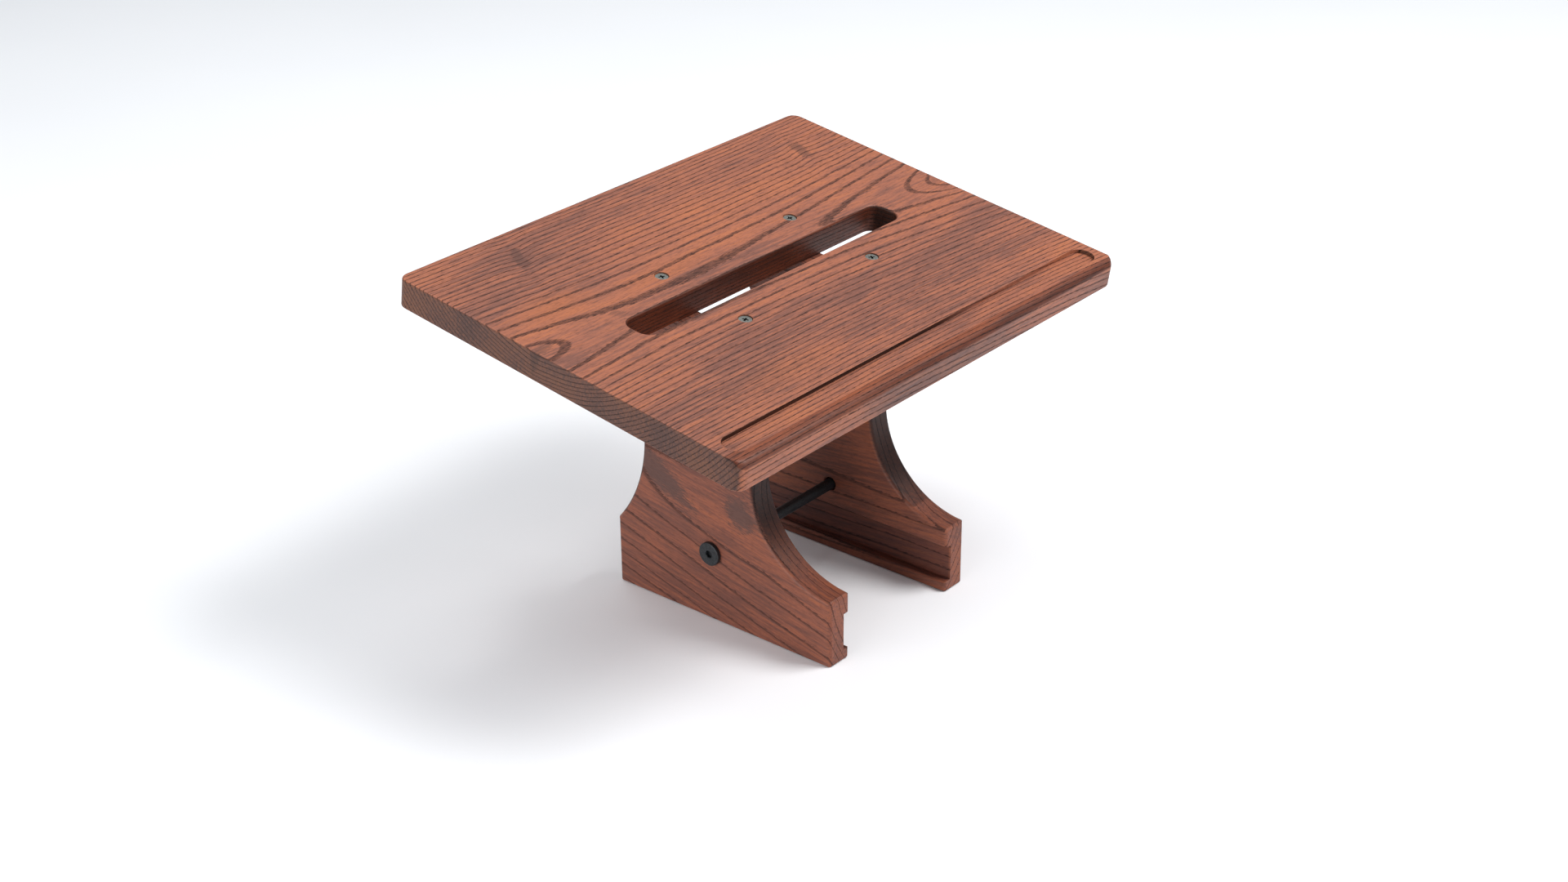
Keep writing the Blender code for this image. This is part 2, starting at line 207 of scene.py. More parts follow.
def rounded_rectangle(half_x, near, far, radius, steps, inset=None):
    """Plan outline; inset, if given, tells how far each of its points moves inwards."""
    points = []
    low_y = near + radius
    high_y = far - radius
    corners = ((1, low_y, -90), (1, high_y, 0), (-1, high_y, 90), (-1, low_y, 180))
    for side, y, start in corners:
        centre = (side * (half_x - radius), y)
        on_curve = arc(centre, radius, start, start + 90, steps)
        if inset is None:
            points += on_curve
            continue
        for x, y_on in on_curve:
            keep = 1 - inset(y_on) / radius
            points.append((centre[0] + (x - centre[0]) * keep,
                           centre[1] + (y_on - centre[1]) * keep))
    return points


def stacked(name, rings):
    """A closed solid from rings of equally many points, bottom ring first."""
    cage = bmesh.new()
    loops = []
    for ring in rings:
        corners = [cage.verts.new(point) for point in ring]
        loops.append([cage.edges.new((a, b)) for a, b in zip(corners, corners[1:] + corners[:1])])
    for below, above in zip(loops, loops[1:]):
        bmesh.ops.bridge_loops(cage, edges=below + above)
    for rim in (loops[0], loops[-1]):
        bmesh.ops.edgeloop_fill(cage, edges=rim)
    return from_cage(name, cage)


def plate(name, points, low, high):
    """A flat outline with a thickness from low to high."""
    return stacked(name, [[(x, y, z) for x, y in points] for z in (low, high)])


def turned(name, profile, sides):
    """A turned piece about Z; the profile runs down its outer side from axis to axis."""
    cage = bmesh.new()
    corners = [cage.verts.new((radius, 0, height)) for radius, height in profile]
    rim = [cage.edges.new(pair) for pair in zip(corners, corners[1:])]
    bmesh.ops.spin(cage, geom=corners + rim, cent=(0, 0, 0), axis=(0, 0, 1), angle=2 * pi,
                   steps=sides, use_merge=True)
    bmesh.ops.remove_doubles(cage, verts=cage.verts, dist=WELD)
    return from_cage(name, cage)


def block(name, lows, highs):
    """A box between two corners."""
    cage = bmesh.new()
    sizes = [high - low for low, high in zip(lows, highs)]
    middle = [(high + low) / 2 for low, high in zip(lows, highs)]
    bmesh.ops.create_cube(cage, size=1.0)
    bmesh.ops.scale(cage, vec=sizes, verts=cage.verts)
    bmesh.ops.translate(cage, vec=middle, verts=cage.verts)
    return from_cage(name, cage)


print("outline helpers ready")

# %% [markdown]
# ## The board
#
# A joiner planes the board, rounds the front edge over well for the wrists, and only eases the
# others. A bevel can't change its width along a tight corner without folding over itself, so
# the board is a stack of outlines instead, each drawn in a little where its edge is round.
# The slot and the pen groove are then routed out with Booleans, and their rims are bevelled.

# %% Board sizes
CORNER_R = 0.008              # in plan
FRONT_ROUND_R = 0.006         # of the top front edge
EDGE_R = 0.0014               # of every other edge
UNDER_STEPS = 5               # outlines that draw a rounded edge
TOP_STEPS = 9
PLAN_STEPS = 16               # points on a quarter turn, seen from above
SLOT_HALF = 0.131
SLOT_NEAR = 0.135             # up the slope from the front edge, like all that follow
SLOT_FAR = 0.159
SLOT_CORNER_R = 0.009
SLOT_LIP_R = 0.0022
SLOT_FOOT_R = 0.0006
TRAY_HALF = 0.192             # the pen groove
TRAY_NEAR = 0.0095
TRAY_FAR = 0.0275
TRAY_DEEP = 0.003
TRAY_LIP_R = 0.0004
TRAY_END_R = (TRAY_FAR - TRAY_NEAR) / 2 - TOUCH
RIM_SEGMENTS = 6
SCREW_X = 0.066
SCREW_ROWS = (0.111, 0.183)
SCREW_SINK = 0.0006
SCREW_HEAD_R = 0.0045
SCREW_RIM_HIGH = 0.0004       # the straight rim above the cone
SCREW_MOUTH_R = 0.0050        # the countersink is wider than the head
SCREW_SHANK_R = 0.00215
SCREW_LONG = 0.045
print("slot %.0f x %.0f mm, groove %.0f x %.0f mm"
      % (2000 * SLOT_HALF, 1000 * (SLOT_FAR - SLOT_NEAR), 2000 * TRAY_HALF,
         1000 * (TRAY_FAR - TRAY_NEAR)))


# %% Shape the board
def top_radius(y):
    """The top edge: well rounded along the front, only eased past the corners."""
    fade = min(1.0, y / CORNER_R)
    fade = fade * fade * (3 - 2 * fade)
    return FRONT_ROUND_R + (EDGE_R - FRONT_ROUND_R) * fade


def board_rings():
    """The board's outlines from its underside to its top, drawn in where its edges are round."""
    rings = []
    size = (BOARD_WIDTH / 2, 0, BOARD_DEPTH, CORNER_R, PLAN_STEPS)
    plan = rounded_rectangle(*size)
    for on_top, steps in ((False, UNDER_STEPS), (True, TOP_STEPS)):
        radius_at = top_radius if on_top else (lambda y: EDGE_R)
        for i in range(steps + 1):
            turn = pi / 2 * i / steps
            drawn_in = 1 - (cos(turn) if on_top else sin(turn))
            left_over = 1 - (sin(turn) if on_top else cos(turn))
            drawn = rounded_rectangle(*size, lambda y: radius_at(y) * drawn_in)
            ring = []
            for (x, y), (_, whole_y) in zip(drawn, plan):
                fall = radius_at(whole_y) * left_over
                ring.append((x, y, BOARD_THICK - fall if on_top else fall))
            rings.append(ring)
    return rings


def rim_radius(a, b):
    """Only the rims of the slot and of the groove still need easing."""
    middle = (a + b) / 2
    on_top = middle.z > BOARD_THICK / 2
    if abs(a.z - b.z) > TOUCH:
        return 0.0
    if abs(middle.x) < SLOT_HALF + TOUCH and SLOT_NEAR - TOUCH < middle.y < SLOT_FAR + TOUCH:
        return SLOT_LIP_R if on_top else SLOT_FOOT_R
    if abs(middle.x) < TRAY_HALF + TOUCH and TRAY_NEAR - TOUCH < middle.y < TRAY_FAR + TOUCH:
        return TRAY_LIP_R
    return 0.0


def screw_hole(place):
    """Countersink and clearance hole for one screw, measured from the top of its head."""
    shank = SCREW_SHANK_R + GAP
    cone_end = -SCREW_RIM_HIGH - (SCREW_MOUTH_R - shank)
    hole = turned("hole", [(0, CLEAR), (SCREW_MOUTH_R, CLEAR), (SCREW_MOUTH_R, -SCREW_RIM_HIGH),
                           (shank, cone_end), (shank, -SCREW_LONG), (0, -SCREW_LONG)], 48)
    hole.data.transform(place)
    return hole


board = stacked("top_board_wood", board_rings())
slot_points = rounded_rectangle(SLOT_HALF, SLOT_NEAR, SLOT_FAR, SLOT_CORNER_R, PLAN_STEPS)
slot_cutter = plate("slot", slot_points, -CLEAR, BOARD_THICK + CLEAR)
tray_points = rounded_rectangle(TRAY_HALF, TRAY_NEAR, TRAY_FAR, TRAY_END_R, 20)
tray_cutter = plate("tray", tray_points, BOARD_THICK - TRAY_DEEP, BOARD_THICK + CLEAR)
board = cut(board, slot_cutter, tray_cutter)
ease_edges(board, rim_radius, RIM_SEGMENTS)
screw_spots = [Matrix.Translation((side * SCREW_X, row, BOARD_THICK - SCREW_SINK))
               for _, side in SIDES for row in SCREW_ROWS]
board = cut(board, *[screw_hole(spot) for spot in screw_spots])
smooth(board)
board = baked(board, BOARD_PLACE)
print("board:", len(board.data.vertices), "vertices")

# %% [markdown]
# ## The legs
#
# Seen from the side a leg is an hourglass: a straight foot, a waist hollowed by an arc on each
# side, and a head that follows the slope of the board. The outline is built from those arcs
# and given the thickness of the plank, then a channel is cut along the inner face of the
# foot, by which the stand slides over a rail. A Bevel modifier eases the edges, since here
# each edge keeps one width; the holes come after it, so that their rims stay crisp.

# %% Leg sizes
LEG_ROUND_R = 0.003
SOLE_ROUND_R = 0.0014
FRONT_WAIST = (0.067, 0.1194)         # behind the leg's front end, and above the floor
BACK_WAIST = (0.1617, 0.1212)
ARC_STEPS = 36
FRONT_LOW_R = 0.070
FRONT_HIGH_R = 0.075
BACK_LOW_R = 0.110
BACK_HIGH_R = 0.140
HEAD_FRONT = 0.026
RAIL_LOW = 0.008
RAIL_HIGH = 0.035
RAIL_DEEP = 0.006
RAIL_LIP_R = 0.0016
ROD_SEAT = 0.012              # how deep the rod sits in a leg
ROD_MOUTH_R = 0.005           # a wider mouth before the seat
ROD_MOUTH_DEEP = 0.003
MOUTH_EASE = 0.0006
BOLT_NECK_R = 0.0041
BOLT_NECK_LONG = 0.003
NECK_SLACK = 0.0012           # the hole for the neck is this much deeper
BOLT_SHANK_R = 0.003
print("foot %.1f mm long, rail channel %.0f x %.0f mm"
      % (1000 * FOOT_LONG, 1000 * (RAIL_HIGH - RAIL_LOW), 1000 * RAIL_DEEP))


# %% Shape a leg
def underside_z(y):
    """Height of the board's underside."""
    return FRONT_Z + (y - FRONT_Y) * tan(TILT)


def arc_to(y, waist, radius, way, up):
    """From a waist to the height where its arc reaches y; way is +1 at the front."""
    centre_y = waist[0] - way * radius
    rise = sqrt(radius ** 2 - (y - centre_y) ** 2)
    points = []
    for i in range(ARC_STEPS + 1):
        height = up * rise * sin(pi / 2 * i / ARC_STEPS)
        points.append((centre_y + way * sqrt(radius ** 2 - height ** 2), waist[1] + height))
    return points


def leg_outline():
    """Side view of a leg: (distance behind its front end, height)."""
    head_gap = GAP / cos(TILT)
    front_low = arc_to(0, FRONT_WAIST, FRONT_LOW_R, 1, -1)
    front_high = arc_to(HEAD_FRONT, FRONT_WAIST, FRONT_HIGH_R, 1, 1)
    back_low = arc_to(FOOT_LONG, BACK_WAIST, BACK_LOW_R, -1, -1)
    back_high = arc_to(FOOT_LONG, BACK_WAIST, BACK_HIGH_R, -1, 1)
    points = [(0, 0), (FOOT_LONG, 0)]
    points += back_low[::-1] + back_high[1:]
    points.append((FOOT_LONG, underside_z(LEG_FRONT + FOOT_LONG) - head_gap))
    points.append((HEAD_FRONT, underside_z(LEG_FRONT + HEAD_FRONT) - head_gap))
    return points + front_high[::-1] + front_low[1:]


def leg_radius(side):
    """How far each edge of a leg is eased; the leg's own Z runs across its thickness."""
    inner = -side * LEG_THICK / 2

    def radius_of(a, b):
        middle = (a + b) / 2
        on_face = abs(middle.z) > LEG_THICK / 2 - TOUCH
        on_inner = abs(middle.z - inner) < TOUCH
        on_channel = RAIL_LOW - TOUCH < middle.y < RAIL_HIGH + TOUCH
        if min(a.y, b.y) > underside_z(LEG_FRONT + HEAD_FRONT) - 2 * GAP:
            return 0.0
        if on_channel and on_inner and abs(a.y - b.y) < TOUCH:
            return RAIL_LIP_R
        if on_channel and not on_face:
            return 0.0
        if middle.y < TOUCH:
            return SOLE_ROUND_R
        return LEG_ROUND_R
    return radius_of


def across(side, x):
    """Place of a turned piece laid along X at the rod, its +Z pointing outwards."""
    return Matrix.Translation((x, ROD_Y, ROD_Z)) @ Matrix.Rotation(side * pi / 2, 4, "Y")


def bolt_hole(side):
    """Stepped hole: bolt neck and shank from outside, the rod's seat from inside."""
    inner = LEG_OUTER - LEG_THICK
    start = inner - 0.001
    mouth_end = inner + ROD_MOUTH_DEEP
    seat_end = inner + ROD_SEAT + GAP
    neck_end = LEG_OUTER - BOLT_NECK_LONG - NECK_SLACK
    neck, shank, seat = (radius + GAP for radius in (BOLT_NECK_R, BOLT_SHANK_R, ROD_R))
    hole = turned("hole", [(0, LEG_OUTER + CLEAR), (neck, LEG_OUTER + CLEAR), (neck, neck_end),
                           (shank, neck_end), (shank, seat_end), (seat, seat_end),
                           (seat, mouth_end), (ROD_MOUTH_R, mouth_end),
                           (ROD_MOUTH_R, inner + MOUTH_EASE),
                           (ROD_MOUTH_R + MOUTH_EASE + 0.001, start), (0, start)], 64)
    hole.data.transform(across(side, 0))
    return hole


def make_leg(side_name, side):
    """A leg lying flat: outline and channel, then its edges, its place and its holes."""
    leg = plate(side_name + "_leg_wood", leg_outline(), -LEG_THICK / 2, LEG_THICK / 2)
    floor = -side * (LEG_THICK / 2 - RAIL_DEEP)
    mouth = -side * (LEG_THICK / 2 + CLEAR)
    rail = block("rail", (-CLEAR, RAIL_LOW, min(floor, mouth)),
                 (FOOT_LONG + CLEAR, RAIL_HIGH, max(floor, mouth)))
    leg = cut(leg, rail)
    ease_edges(leg, leg_radius(side), RIM_SEGMENTS)
    middle = side * (LEG_OUTER - LEG_THICK / 2)
    turn = Matrix(((0, 0, 1), (1, 0, 0), (0, 1, 0))).to_4x4()
    leg = baked(leg, Matrix.Translation((middle, LEG_FRONT, 0)) @ turn)
    holes = [bolt_hole(side)]
    for row in SCREW_ROWS:
        hole = screw_hole(Matrix.Translation((side * SCREW_X, row, BOARD_THICK - SCREW_SINK)))
        hole.data.transform(BOARD_PLACE)
        holes.append(hole)
    leg = cut(leg, *holes)
    smooth(leg)
    leg = baked(leg)
    print(leg.name, len(leg.data.vertices), "vertices")
    return leg


legs = {side_name: make_leg(side_name, side) for side_name, side in SIDES}

# %% [markdown]
# ## Rod and bolts
#
# The rod is a plain round bar with eased ends that sit in the legs. A connector bolt with a
# wide flat head holds it from each side: its head is a thin disc with a soft rim and a hex
# socket. Both are turned from a profile, and the socket is cut with a six-sided block.

# %% Make rod and bolts
BOLT_HEAD_R = (bolt_high[2] - bolt_low[2]) / 2
BOLT_HEAD_HIGH = 0.0028
BOLT_HEAD_SOFT_R = 0.0007
BOLT_UNDER_EASE = 0.0003
BOLT_EASE = 0.001             # below the neck and at the point
BOLT_LONG = 0.0205
HEX_ACROSS = 0.005
HEX_DEEP = 0.0030
HEX_TURN = radians(12)        # where the hand that drove it stopped
ROD_EASE = 0.0005
TAP_DEEP = 0.015              # the tapped hole in each end of the rod


def make_rod():
    half = (rod_high[0] - rod_low[0]) / 2
    tap_r = BOLT_SHANK_R + GAP
    tap_end = half - TAP_DEEP
    right_end = [(0, tap_end), (tap_r, tap_end), (tap_r, half), (ROD_R - ROD_EASE, half),
                 (ROD_R, half - ROD_EASE)]
    profile = right_end + [(radius, -height) for radius, height in right_end[::-1]]
    rod = turned("tie_rod_steel", profile, 64)
    smooth(rod)
    return baked(rod, across(1, 0))


def make_bolt(side_name, side):
    """A bolt standing on the leg's face; the head is above zero, the shank below."""
    soft_centre = (BOLT_HEAD_R - BOLT_HEAD_SOFT_R, BOLT_HEAD_HIGH - BOLT_HEAD_SOFT_R)
    profile = [(0, BOLT_HEAD_HIGH)] + arc(soft_centre, BOLT_HEAD_SOFT_R, 90, 0, 6)
    profile += [(BOLT_HEAD_R, BOLT_UNDER_EASE), (BOLT_HEAD_R - BOLT_UNDER_EASE, 0),
                (BOLT_NECK_R, 0), (BOLT_NECK_R, -BOLT_NECK_LONG),
                (BOLT_SHANK_R, -BOLT_NECK_LONG - BOLT_EASE), (BOLT_SHANK_R, BOLT_EASE - BOLT_LONG),
                (BOLT_SHANK_R - BOLT_EASE, -BOLT_LONG), (0, -BOLT_LONG)]
    bolt = turned("tie_bolt_%s_steel" % side_name, profile, 96)
    cage = bmesh.new()
    bmesh.ops.create_cone(cage, cap_ends=True, segments=6, radius1=HEX_ACROSS / sqrt(3),
                          radius2=HEX_ACROSS / sqrt(3), depth=2 * HEX_DEEP)
    bmesh.ops.rotate(cage, matrix=Matrix.Rotation(HEX_TURN, 3, "Z"), verts=cage.verts)
    bmesh.ops.translate(cage, vec=(0, 0, BOLT_HEAD_HIGH), verts=cage.verts)
    # a short cone breaks the upper edge of the socket
    lead_in = turned("lead", [(0, 0.004), (0.0035, 0.004), (0.0035, 0.0032), (0.0022, 0.0019),
                              (0, 0.0019)], 48)
    bolt = cut(bolt, from_cage("key", cage), lead_in)
    smooth(bolt)
    return baked(bolt, across(side, side * (LEG_OUTER + GAP)))


rod = make_rod()
bolts = {side_name: make_bolt(side_name, side) for side_name, side in SIDES}
print("rod %.1f mm across, bolt heads %.1f mm" % (2000 * ROD_R, 2000 * BOLT_HEAD_R))

# %% [markdown]
# ## Screws
#
# Four countersunk screws hold the board. One screw is turned, and its cross recess is cut by
# two tapering arms and a bowl. Geometry Nodes set it out on the four corners of a grid, each
# turned its own way as a hand-driven screw is. The tree takes its spacings and its seed as
# named inputs.

# %% Screw sizes
SCREW_CROWN = 0.00005         # the top is a trace domed
SCREW_CHAMFER = (0.0004, 0.00015)
SCREW_POINT_LONG = 0.006
CROSS_HALF_LONG = 0.0026
CROSS_HALF_WIDE = 0.00075
CROSS_DEEP = 0.0022
CROSS_TAPER = (0.3, 0.5)      # what is left of an arm's length and width at its foot
BOWL_R = (0.0012, 0.0009)     # at the top, and where it starts to close
BOWL_DEEP = 0.0012
print("screw heads %.1f mm across" % (2000 * SCREW_HEAD_R))


# %% Model one screw
def make_screw():
    cone_end = -SCREW_RIM_HIGH - (SCREW_HEAD_R - SCREW_SHANK_R)
    chamfer_wide, chamfer_high = SCREW_CHAMFER
    screw = turned("screw", [(0, SCREW_CROWN), (SCREW_HEAD_R - chamfer_wide, 0),
                             (SCREW_HEAD_R, -chamfer_high), (SCREW_HEAD_R, -SCREW_RIM_HIGH),
                             (SCREW_SHANK_R, cone_end),
                             (SCREW_SHANK_R, SCREW_POINT_LONG - SCREW_LONG), (0, -SCREW_LONG)], 64)
    arms = []
    for turn in (0, 1):
        arm = block("arm", (-CROSS_HALF_LONG, -CROSS_HALF_WIDE, -CROSS_DEEP),
                    (CROSS_HALF_LONG, CROSS_HALF_WIDE, GAP))
        for corner in arm.data.vertices:
            if corner.co.z < 0:
                corner.co.x *= CROSS_TAPER[0]
                corner.co.y *= CROSS_TAPER[1]
        arm.data.transform(Matrix.Rotation(turn * pi / 2, 4, "Z"))
        arms.append(arm)
    bowl = turned("bowl", [(0, GAP), (BOWL_R[0], GAP), (BOWL_R[1], -BOWL_DEEP),
                           (0, -CROSS_DEEP)], 32)
    screw = cut(screw, *arms, bowl)
    smooth(screw)
    return baked(screw)


screw = make_screw()
print("screw:", len(screw.data.vertices), "vertices")


# %% Set out four screws with Geometry Nodes
def screw_tree():
    tree = bpy.data.node_groups.new("set_out_screws", "GeometryNodeTree")
    face = tree.interface
    face.new_socket("Geometry", in_out="OUTPUT", socket_type="NodeSocketGeometry")
    for label, kind in (("Screw", "Object"), ("Across", "Float"), ("Up the slope", "Float"),
                        ("Seed", "Int"), ("Finish", "Material")):
        face.new_socket(label, in_out="INPUT", socket_type="NodeSocket" + kind)
    enter = tree.nodes.new("NodeGroupInput")
    leave = tree.nodes.new("NodeGroupOutput")
    grid = tree.nodes.new("GeometryNodeMeshGrid")
    grid.inputs["Vertices X"].default_value = 2
    grid.inputs["Vertices Y"].default_value = 2
    fetch = tree.nodes.new("GeometryNodeObjectInfo")
    turn = tree.nodes.new("FunctionNodeRandomValue")
    turn.data_type = "FLOAT_VECTOR"
    turn.inputs[0].default_value = (0, 0, 0)
    turn.inputs[1].default_value = (0, 0, pi / 2)
    place = tree.nodes.new("GeometryNodeInstanceOnPoints")
    real = tree.nodes.new("GeometryNodeRealizeInstances")
    paint = tree.nodes.new("GeometryNodeSetMaterial")
    join = tree.links.new
    join(enter.outputs["Across"], grid.inputs["Size X"])
    join(enter.outputs["Up the slope"], grid.inputs["Size Y"])
    join(enter.outputs["Screw"], fetch.inputs["Object"])
    join(enter.outputs["Seed"], turn.inputs["Seed"])
    join(grid.outputs["Mesh"], place.inputs["Points"])
    join(fetch.outputs["Geometry"], place.inputs["Instance"])
    join(turn.outputs[0], place.inputs["Rotation"])
    join(place.outputs["Instances"], real.inputs["Geometry"])
    join(real.outputs["Geometry"], paint.inputs["Geometry"])
    join(enter.outputs["Finish"], paint.inputs["Material"])
    join(paint.outputs["Geometry"], leave.inputs["Geometry"])
    return tree


def set_out(name, tree, values, place):
    """An object made by a node tree, turned into a plain mesh in its place."""
    holder = bpy.data.objects.new(name, bpy.data.meshes.new(name))
    bpy.context.scene.collection.objects.link(holder)
    nodes = holder.modifiers.new("Nodes", "NODES")
    nodes.node_group = tree
    for item in tree.interface.items_tree:
        if item.in_out == "INPUT":
            nodes[item.identifier] = values[item.name]
    return baked(holder, place)


zinc = bpy.data.materials.new("zinc_steel")       # its finish follows below
near_row, far_row = SCREW_ROWS
grid_middle = Matrix.Translation((0, (near_row + far_row) / 2, BOARD_THICK - SCREW_SINK))
screws = set_out("board_screws_steel", screw_tree(),
                 {"Screw": screw, "Across": 2 * SCREW_X, "Up the slope": far_row - near_row,
                  "Seed": 3, "Finish": zinc}, BOARD_PLACE @ grid_middle)
bpy.data.objects.remove(screw, do_unlink=True)
print("four screws:", len(screws.data.vertices), "vertices")

# %% [markdown]
# ## Helpers for finishes
#
# A finish is a node tree. These few functions place a node and wire its inputs in one line, so
# that a tree reads like the sum it stands for.


# %% Helpers for nodes
def wire(tree, value, socket):
    """Plug an output in, or set a plain value."""
    if isinstance(value, bpy.types.NodeSocket):
        tree.links.new(value, socket)
    else:
        socket.default_value = value


def node(tree, kind, values, **settings):
    """A new node; values are for its inputs, settings for the node itself."""
    made = tree.nodes.new(kind)
    for name, value in settings.items():
        setattr(made, name, value)
    for key, value in values.items():
        wire(tree, value, made.inputs[key])
    return made


def calc(tree, operation, *values):
    return node(tree, "ShaderNodeMath", dict(enumerate(values)), operation=operation).outputs[0]


def calc_vector(tree, operation, *values):
    made = node(tree, "ShaderNodeVectorMath", dict(enumerate(values)), operation=operation)
    return made.outputs["Value" if operation in ("DOT_PRODUCT", "LENGTH") else "Vector"]


def stretch(tree, point, scale):
    """Scale a point, to draw a pattern out along one axis."""
    return calc_vector(tree, "MULTIPLY", point, scale)


def object_point(tree):
    """Where on the piece the finish is asked for."""
    return node(tree, "ShaderNodeTexCoord", {}).outputs["Object"]


def noise(tree, point, scale, detail=2.0, roughness=0.5):
    made = node(tree, "ShaderNodeTexNoise", {"Vector": point, "Scale": scale, "Detail": detail,
                                             "Roughness": roughness})
    return made.outputs["Fac"]


def ramp(tree, value, stops, easing="LINEAR"):
    """stops are (position, grey or colour) pairs."""
    made = node(tree, "ShaderNodeValToRGB", {"Fac": value})
    made.color_ramp.interpolation = easing
    points = made.color_ramp.elements
    while len(points) < len(stops):
        points.new(0.5)
    for point, (position, colour) in zip(points, stops):
        point.position = position
        point.color = (*colour, 1) if isinstance(colour, tuple) else (colour, colour, colour, 1)
    return made.outputs["Color"]


def opaque(colour):
    return (*colour, 1) if isinstance(colour, tuple) else colour


def blend(tree, factor, first, second, mode="MIX"):
    """The first colour where the factor is 0, the second where it is 1."""
    made = node(tree, "ShaderNodeMix", {0: factor, 6: opaque(first), 7: opaque(second)},
                data_type="RGBA", blend_type=mode)
    return made.outputs[2]


def rising(tree, value, low, high):
    """0 below low, 1 above high, smooth between."""
    made = node(tree, "ShaderNodeMapRange", {0: value, 1: low, 2: high},
                interpolation_type="SMOOTHSTEP")
    return made.outputs[0]


def new_group(name, inputs, outputs):
    """A shader group with named float or vector sockets; returns it with its two end nodes."""
    tree = bpy.data.node_groups.new(name, "ShaderNodeTree")
    for label, value in inputs.items():
        kind = "NodeSocketVector" if isinstance(value, tuple) else "NodeSocketFloat"
        tree.interface.new_socket(label, in_out="INPUT", socket_type=kind).default_value = value
    for label in outputs:
        tree.interface.new_socket(label, in_out="OUTPUT", socket_type="NodeSocketFloat")
    return tree, tree.nodes.new("NodeGroupInput").outputs, tree.nodes.new("NodeGroupOutput").inputs


def use_group(tree, group, values):
    made = tree.nodes.new("ShaderNodeGroup")
    made.node_tree = group
    for key, value in values.items():
        wire(tree, value, made.inputs[key])
    return made.outputs


def new_material(name):
    made = bpy.data.materials.get(name) or bpy.data.materials.new(name)
    made.use_nodes = True
    return made, made.node_tree, made.node_tree.nodes["Principled BSDF"].inputs


print("node helpers ready")

# %% [markdown]
# ## Ash grain
#
# Ash is ring-porous: each year starts with a band of wide pores, which takes the stain darkly,
# and ends in dense pale wood. A tree is a stack of cones round its pith, so the pattern is
# worked out in the solid: the distance from the pith gives the year, and every face of the
# plank, its end grain too, shows the right cut through the same rings. Low-frequency noise
# bends the rings, and a bow along the plank makes the pointed figure where a face runs nearly
# parallel to them.


# %% The grain group
def grain_group():
    tree, given, result = new_group(
        "ash_grain",
        {"Point": (0.0, 0.0, 0.0), "Ring width": 0.0029, "Bow": 0.09, "Taper": 0.0, "Sway": 0.006,
         "Curl": 0.0, "Band": 0.7, "Fray": 0.0003, "Seed": 0.0},
        ("Earlywood", "Pores", "Dashes", "Tone", "Height"))
    point = given["Point"]
    axes = node(tree, "ShaderNodeSeparateXYZ", {0: point}).outputs
    radius = calc(tree, "SQRT", calc(tree, "ADD", calc(tree, "POWER", axes[1], 2.0),
                                     calc(tree, "POWER", axes[2], 2.0)))
    bow = calc(tree, "MULTIPLY", calc(tree, "POWER", axes[0], 2.0), given["Bow"])
    taper = calc(tree, "MULTIPLY", axes[0], given["Taper"])
    moved = calc_vector(tree, "ADD", point, given["Seed"])

    def swing(scale):
        """Noise about zero."""
        return calc(tree, "SUBTRACT", noise(tree, stretch(tree, moved, scale), 1.0, 1.0), 0.5)

    # the distance from the pith, bent by bow, taper, sway and curl
    slow = swing((6.0, 16.0, 16.0))
    quick = swing((30.0, 50.0, 50.0))
    sway = calc(tree, "MULTIPLY", given["Sway"], calc(tree, "MULTIPLY_ADD", quick, 0.12, slow))
    bent = calc(tree, "ADD", calc(tree, "SUBTRACT", radius, bow), calc(tree, "ADD", taper, sway))
    bent = calc(tree, "ADD", bent, given["Curl"])
    # some years are wide and some are narrow, and pores fray the lines between them
    uneven = noise(tree, node(tree, "ShaderNodeCombineXYZ", {0: bent}).outputs[0], 90.0, 0.0)
    dashes = noise(tree, stretch(tree, point, (240.0, 1500.0, 1500.0)), 1.0, 2.0, 0.55)
    loose = calc(tree, "SUBTRACT", dashes, 0.5)
    bent = calc(tree, "MULTIPLY_ADD", loose, given["Fray"], bent)
    years = calc(tree, "ADD", calc(tree, "DIVIDE", bent, given["Ring width"]), uneven)
    season = calc(tree, "DIVIDE", calc(tree, "FRACT", years), given["Band"])
    early = ramp(tree, season, ((0.0, 0.15), (0.08, 0.90), (0.20, 1.0), (0.38, 0.80),
                                (0.60, 0.12), (0.85, 0.0)), "EASE")
    early = rising(tree, calc(tree, "MULTIPLY_ADD", loose, 1.5, early), 0.30, 0.95)
    pores = rising(tree, dashes, 0.50, 0.62)
    # long fibres and slow clouds give the wood between the lines its tone
    fibre = noise(tree, stretch(tree, point, (30.0, 500.0, 500.0)), 1.0, 3.0, 0.6)
    cloud = noise(tree, stretch(tree, point, (5.0, 22.0, 22.0)), 1.0, 2.0)
    tone = calc(tree, "MULTIPLY_ADD", fibre, 0.6, calc(tree, "MULTIPLY", cloud, 0.5))
    relief = calc(tree, "MULTIPLY", calc(tree, "MULTIPLY_ADD", pores, 0.8, 0.2), early)
    height = calc(tree, "SUBTRACT", 1.0, relief)
    for label, value in (("Earlywood", early), ("Pores", pores), ("Dashes", dashes),
                         ("Tone", tone), ("Height", height)):
        wire(tree, value, result[label])
    return tree


ash_grain = grain_group()
print("ash_grain:", len(ash_grain.nodes), "nodes")
